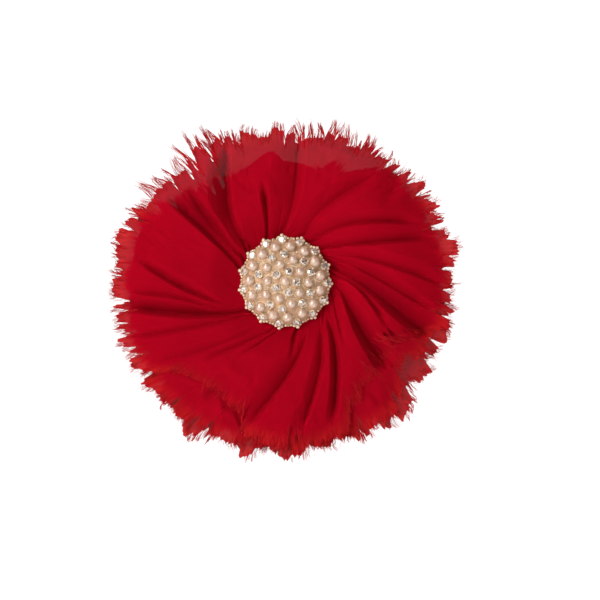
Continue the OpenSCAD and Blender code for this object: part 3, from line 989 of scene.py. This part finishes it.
class Beading(Batch):
    """Fine gold beads cast on the base, kept clear of its pearls and stones."""

    def __init__(self):
        super().__init__()
        self.ball = ball(2)
        kept_clear = [(ring, PEARL_R[node] - 0.1) for node, ring in PEARL_RINGS.items()]
        kept_clear += [(ring, CUP_R + 0.1) for ring in sum(CRYSTAL_RINGS.values(), [])]
        self.taken = [(on_dome(*place)[0], clear) for ring, clear in kept_clear
                      for place in ring_places(ring)]

    def put(self, place, radius):
        points, faces = self.ball
        self.add(place + radius * points, faces)

    def bead(self, right, up, radius, furthest=math.inf):
        """A bead half sunk in the dome, if it is free there."""
        ring_r = min(math.hypot(right, up), furthest)
        place, _ = on_dome(ring_r, math.degrees(math.atan2(up, right)), -BEAD_SINK * radius)
        if ring_r < DOME_RIM_R and all(np.linalg.norm(place - other) > clear for other, clear in self.taken):
            self.put(place, radius)


def build_beading():
    """Collars round the pearls, wandering lines, loose grains and the rim's stars."""
    rng = np.random.default_rng(SEED + 31)
    beads = Beading()
    for node, ring in PEARL_RINGS.items():
        for place in ring_places(ring):
            origin, (down, across, _) = on_dome(*place)
            start, reach = rng.uniform(0, 360), rng.uniform(120, 300)
            for step in np.arange(0, reach, COLLAR_STEP):
                turn = math.radians(start + step)
                collar = origin + (PEARL_R[node] + 0.06) * (math.cos(turn) * down + math.sin(turn) * across)
                beads.bead(collar[0] - BUTTON_X, collar[1] - BUTTON_Y, 0.14 * rng.uniform(0.8, 1.2))
    for _ in range(LINES):
        ring_r, angle, heading = rng.uniform(2, 11), rng.uniform(0, 360), rng.uniform(0, 2 * math.pi)
        bend = rng.uniform(-0.22, 0.22)
        right, up = ring_r * math.cos(math.radians(angle)), ring_r * math.sin(math.radians(angle))
        for step in range(LINE_STEPS):
            heading += bend * math.cos(step * 0.55)
            right += LINE_STEP * math.cos(heading)
            up += LINE_STEP * math.sin(heading)
            beads.bead(right, up, 0.15 * rng.uniform(0.85, 1.2), furthest=12.2)
    for _ in range(GRAINS):
        ring_r, turn = 12.1 * math.sqrt(rng.random()), math.radians(rng.uniform(0, 360))
        beads.bead(ring_r * math.cos(turn), ring_r * math.sin(turn), rng.uniform(0.16, 0.32))
    for _, angle in ring_places(CRYSTAL_RINGS["outer"][0]):
        for turn, reach, radius in STAR_BEADS:
            out = button_low[2] + EDGE_H - 0.1 + STAR_SLOPE * (STAR_TIP_R - reach)
            place = on_face(angle + turn + rng.normal(0, 0.5), reach, out)
            beads.put(place, radius * rng.uniform(0.85, 1.1))
    beads.make("gold_beading", claw_look, "gold_claws")


# ---------------------------------------------------------------- felt, glue, threads and spring

def build_felt_disc():
    """A hand-cut disc of wool felt, a little uneven, with loose fibres at its edge."""
    rng = np.random.default_rng(SEED + 40)
    middle, (radius, _, half) = node_middle("felt_backing")
    columns = 160
    turn = np.arange(columns) * 2 * math.pi / columns
    waves = ((3, 0.22), (7, 0.12), (17, 0.08))
    uneven = sum(size * np.cos(k * turn + rng.uniform(0, 6)) for k, size in waves)
    # Shares of the radius and of the height, from the middle of a face to the edge, alike on both faces
    section = [(0.0, 1), (0.25, 1), (0.5, 1), (0.72, 1), (0.88, 1), (0.965, 0.98), (0.99, 0.75), (1, 0.3)]
    rings = []
    for share, side in [(share, -side) for share, side in section] + section[::-1]:
        lumps = 0.05 * np.cos(9 * turn + 11 * share) * (share < 0.95)
        out = middle[2] + side * (half - 0.06) + lumps
        rings.append(around(middle, share * (radius - 0.4 + uneven), turn, out))
    faces = grid_faces(len(rings), columns, closed=True)
    disc = make_mesh("felt_disc", np.stack(rings), faces, felt_look)
    merge_close(disc)
    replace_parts(disc, "felt_backing")
    fuzz = build_fuzz(rng, "felt_disc_fuzz", 1500, middle, radius - 0.5, half)


def build_fuzz(rng, name, count, middle, radius, half):
    """Short wool fibres that stand off a felt disc's edge and its back."""
    turn = rng.uniform(0, 2 * math.pi, count)
    at_edge = rng.random(count) < 0.55
    reach = np.where(at_edge, radius, radius * np.sqrt(rng.random(count)))
    out = middle[2] + np.where(at_edge, rng.uniform(-half, half, count), -half + 0.05)
    away = around((0, 0), at_edge, turn, np.where(at_edge, 0, -1.0))
    heading = unit(away + rng.normal(0, 0.8, (count, 3)))
    steps = np.linspace(0, 1, 5)[None, :, None]
    length = rng.uniform(0.3, 1.1, count)[:, None, None]
    curl = rng.normal(0, 0.35, (count, 1, 3)) * steps ** 2
    paths = around(middle, reach, turn, out)[:, None, :] + length * (heading[:, None, :] * steps + curl)
    return thread_mesh(name, paths, np.full(paths.shape[:2], 0.014), felt_look)


def build_felt_band():
    """A strip of felt that lies on the disc at both ends and is draped over the clip's fixed arm."""
    low, high = node_box("felt_clip_band")
    thick, clear = 0.8, 0.15
    arm_half = node_box("clip_upper_arm")[1][1] + clear
    across = np.linspace(low[1] + clear, high[1] - clear, 61)
    along = np.linspace(low[0], high[0], 24)
    under = high[2] - (1 - smooth((np.abs(across) - arm_half) / 1.1)) * (high[2] - low[2] - thick)
    width, place = np.meshgrid(along, across, indexing="ij")
    lumps = 0.03 * np.cos(3.1 * place + 1.7 * width)
    width = width + 0.12 * np.sin(0.9 * place)
    front = triples(width, place, under)
    back = triples(width, place, under - thick + 0.06 + lumps)
    # The strip's section runs round: out along the front face and back along the other one
    loop = np.concatenate([front, back[::-1]], axis=0)
    rows, columns, _ = loop.shape
    faces = grid_faces(columns, rows, closed=True)
    faces.append(list(range(rows))[::-1])
    faces.append([(columns - 1) * rows + k for k in range(rows)])
    band = make_mesh("felt_band", np.swapaxes(loop, 0, 1).reshape(-1, 3), faces, felt_look)
    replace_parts(band, "felt_clip_band")


def merge_close(piece, distance=1e-7):
    """Joins points that coincide, as at the middle of a disc."""
    with editing(piece) as mesh:
        bmesh.ops.remove_doubles(mesh, verts=mesh.verts, dist=distance)
        bmesh.ops.dissolve_degenerate(mesh, edges=mesh.edges, dist=distance)


def build_glue(name, node, seed):
    """A lumpy set bead of hot glue that fills a CAD node's box with round sides and corners."""
    rng = np.random.default_rng(seed)
    middle, half = node_middle(node)
    points, faces = ball(5)
    squareness = 3.2
    stretch = np.sum(np.abs(points) ** squareness, axis=1) ** (-1 / squareness)
    points = points * stretch[:, None]
    waves = [(rng.uniform(1.5, 4, 3), rng.uniform(0, 6)) for _ in range(5)]
    lumps = sum(np.cos(points @ direction + phase) for direction, phase in waves) / 5
    bead = Batch()
    bead.add(middle + points * (half * (0.93 + 0.07 * lumps[:, None])), faces)
    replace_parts(bead.make(name, glue_look, "glue"), node)


def build_gathering_threads():
    """A doubled and twisted sewing thread that runs in and out of each layer's gathers."""
    stitches, twists, ply_r = 22, 60, 0.09
    turn = np.linspace(0, 2 * math.pi, 361)
    for layer in ("back", "middle", "front"):
        middle, (radius, _, _) = node_middle("gathering_thread_" + layer)
        plies = []
        for start in (0, math.pi):
            twist = twists * turn + start
            reach = radius - 0.25 + 0.12 * np.cos(stitches * turn) + ply_r * np.cos(twist)
            out = middle[2] + 0.2 * np.sin(stitches * turn) + ply_r * np.sin(twist)
            plies.append(around(middle, reach, turn, out))
        widths = np.full((len(plies), len(turn)), 0.11)
        piece = thread_mesh("sewn_thread_" + layer, np.array(plies), widths, thread_look, sides=6)
        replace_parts(piece, "gathering_thread_" + layer)


def build_spring():
    """The clip's round-wire spring, built in one pose; on the real clip it winds up as the lower arm turns.
    """
    low, high = node_box("torsion_spring")
    hinge, _ = node_middle("hinge_pin")
    wire_r, turns, pitch, sides = 0.35, 3.5, 0.76, 14
    coil_r = hinge[0] - low[0] - wire_r
    tail_slope = 2.5 / 11
    reach = high[0] - hinge[0]

    def leg(side, end, slope):
        """From the coil's end to the leg's tip: side is -1 for the upper one and 1 for the lower one."""
        share = np.linspace(0, 1, 24)
        face = end + slope * reach * (1 - share)
        out = side * -coil_r + (face + side * coil_r) * smooth(2 * share)
        return triples(hinge[0] + reach * share, side * turns * pitch / 2, out)

    turn = np.linspace(0, 1, 240)
    angle = math.pi / 2 + 2 * math.pi * turns * turn
    coil = triples(hinge[0] + coil_r * np.cos(angle), turns * pitch * (turn - 0.5), coil_r * np.sin(angle))
    upper, lower = leg(-1, high[2] - wire_r, 0), leg(1, low[2] + wire_r, tail_slope)
    path = np.concatenate([upper[:0:-1], coil, lower[1:]])
    widths = np.full((1, len(path)), wire_r)
    spring = thread_mesh("spring_wire", path[None], widths, spring_look, sides=sides,
                         body=None)
    cap_ends(spring, sides)
    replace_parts(spring, "torsion_spring")
    start, end = (tuple(stand_up([hinge[0], 0, side * coil_r])) for side in (1, -1))
    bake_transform(spring)


def cap_ends(piece, sides):
    """Closes the two open ends of a single tube."""
    with editing(piece) as mesh:
        mesh.verts.ensure_lookup_table()
        mesh.faces.new(mesh.verts[:sides])
        mesh.faces.new(mesh.verts[-sides:][::-1])
        bmesh.ops.recalc_face_normals(mesh, faces=mesh.faces)


def build_all():
    dress_cad_nodes()
    build_crystals()
    build_beading()
    build_felt_disc()
    build_felt_band()
    build_glue("button_glue_bead", "button_glue", SEED + 50)
    build_glue("clip_glue_bead", "clip_glue", SEED + 51)
    build_gathering_threads()
    build_spring()


build_all()


# ---------------------------------------------------------------- camera, light and floor

def build_camera():
    """Looks straight at the flower's face, from far off."""
    # The frame's side at the flower, and how far its middle is from the button's middle
    frame_side, frame_right, frame_down = 172.7, 4.26, 5.27
    distance, film = 1400, 36
    camera = link("camera", bpy.data.cameras.new("camera"))
    camera.location = stand_up([BUTTON_X + frame_right, BUTTON_Y - frame_down, button_high[2] + distance])
    camera.rotation_euler = (math.pi / 2, 0, 0)
    camera.data.sensor_width = film
    camera.data.lens = film * distance / frame_side
    camera.data.clip_end = 100
    bpy.context.scene.camera = camera


def area_light(name, place, size, power, aim=(0, 0, 0), spread=180):
    """A round light: its place and aim in the flower's axes, its size in metres, its spread in degrees."""
    data = bpy.data.lights.new(name, "AREA")
    data.shape = "DISK"
    data.size = size
    data.energy = power
    data.spread = math.radians(spread)
    light = link(name, data)
    light.location = stand_up(place)
    heading = Vector(stand_up(aim)) - light.location
    light.rotation_euler = heading.to_track_quat("-Z", "Y").to_euler()


def build_room():
    """White to the camera. It lights the flower less than that, and least from the lower right."""
    world = bpy.data.worlds.new("studio")
    bpy.context.scene.world = world
    world.use_nodes = True
    nodes = Nodes(world.node_tree)
    heading = nodes.add("ShaderNodeTexCoord").outputs["Generated"]
    lit_side = {0: heading, 1: (-0.55, -0.35, 0.75)}
    facing = nodes.add("ShaderNodeVectorMath", lit_side, operation="DOT_PRODUCT").outputs["Value"]
    shades = {"Value": facing, "From Min": -1, "From Max": 1, "To Min": 0.04, "To Max": 0.22}
    shade = nodes.add("ShaderNodeMapRange", shades).outputs["Result"]
    seen = nodes.add("ShaderNodeLightPath").outputs["Is Camera Ray"]
    pick = nodes.add("ShaderNodeMix", {"Factor": seen, "A": shade, "B": 1.1}).outputs["Result"]
    nodes.feed(world.node_tree.nodes["Background"].inputs["Color"], pick)


def build_floor():
    """Glows a little, and more away from the flower, so that it runs into the white of the room."""
    floor_drop, floor_half = 160, 2500
    corners = [stand_up((x * floor_half, -floor_drop, z * floor_half)).tolist()
               for x, z in ((-1, -1), (1, -1), (1, 1), (-1, 1))]
    mesh = bpy.data.meshes.new("floor")
    mesh.from_pydata(corners, [], [(0, 1, 2, 3)])
    s = Shader("floor", Roughness=0.9, Emission_Color=(1, 1, 1))
    s.colour(s.mix(s.noise(3.0), (0.86,) * 3, (0.9,) * 3))
    away = s.add("ShaderNodeVectorMath", {0: s.place()}, operation="LENGTH").outputs["Value"]
    glow = {"Value": away, "From Min": 0.25, "From Max": 0.95, "To Min": 0.5, "To Max": 0.95}
    s.feed(s.bsdf.inputs["Emission Strength"], s.add("ShaderNodeMapRange", glow).outputs["Result"])
    mesh.materials.append(s.material)
    link("floor", mesh)


def build_stage():
    view = bpy.context.scene.view_settings
    view.view_transform = "Standard"
    view.look = "None"
    build_camera()
    area_light("softbox", (-190, 130, 380), 0.2, 0.7)
    area_light("key", (-456, 730, 380), 0.45, 1.62)
    area_light("side", (-560, 130, 620), 0.3, 0.055, aim=(-55, 0, 0), spread=22)
    build_room()
    build_floor()


build_stage()
